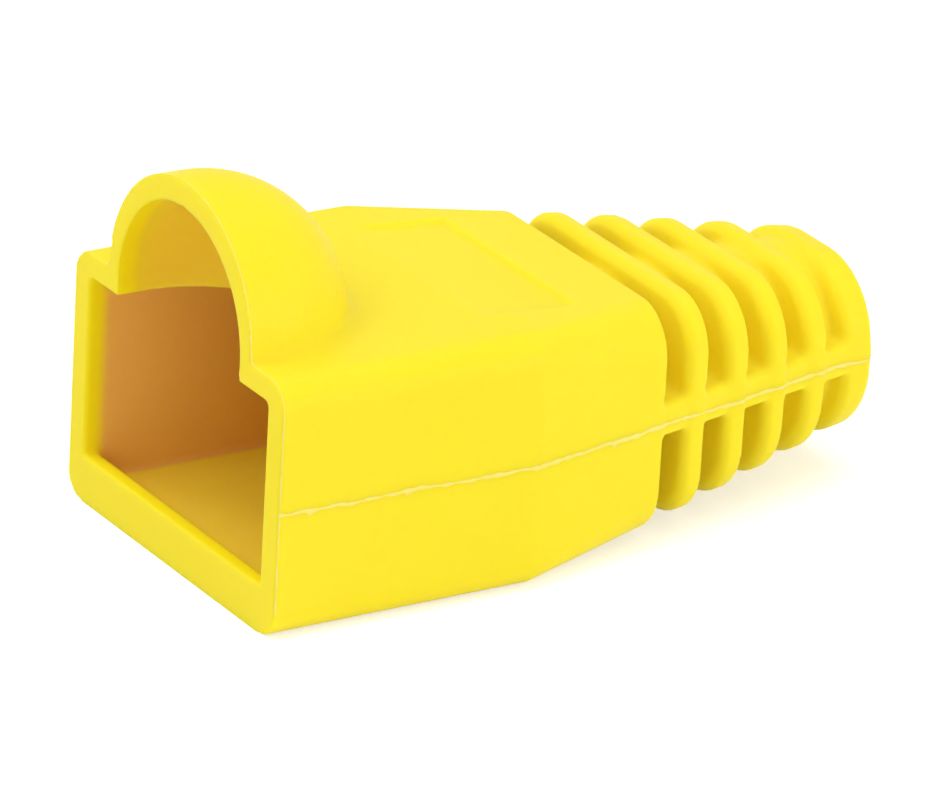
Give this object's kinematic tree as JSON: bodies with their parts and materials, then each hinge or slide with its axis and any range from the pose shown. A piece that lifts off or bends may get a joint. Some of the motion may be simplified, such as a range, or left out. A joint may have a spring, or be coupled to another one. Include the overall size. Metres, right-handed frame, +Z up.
{
  "type": "cable plug strain relief boot",
  "caption": "Soft moulded boot for a modular network plug: open sleeve, rounded latch hood on top, ribbed and slotted tapering tail with a round cable hole.",
  "frame": {"origin": "middle of the mouth's lower edge, on the flat underside", "axes": "+Y from the mouth along the cable to the tail end, +Z up through the latch hood, +X to the right seen from the mouth"},
  "size_m": [0.0138, 0.0256, 0.0138],
  "materials": {
    "boot": "soft satin moulded vinyl, slightly translucent"
  },
  "bodies": {
    "root": {"boot": "boot"}
  },
  "joints": []
}
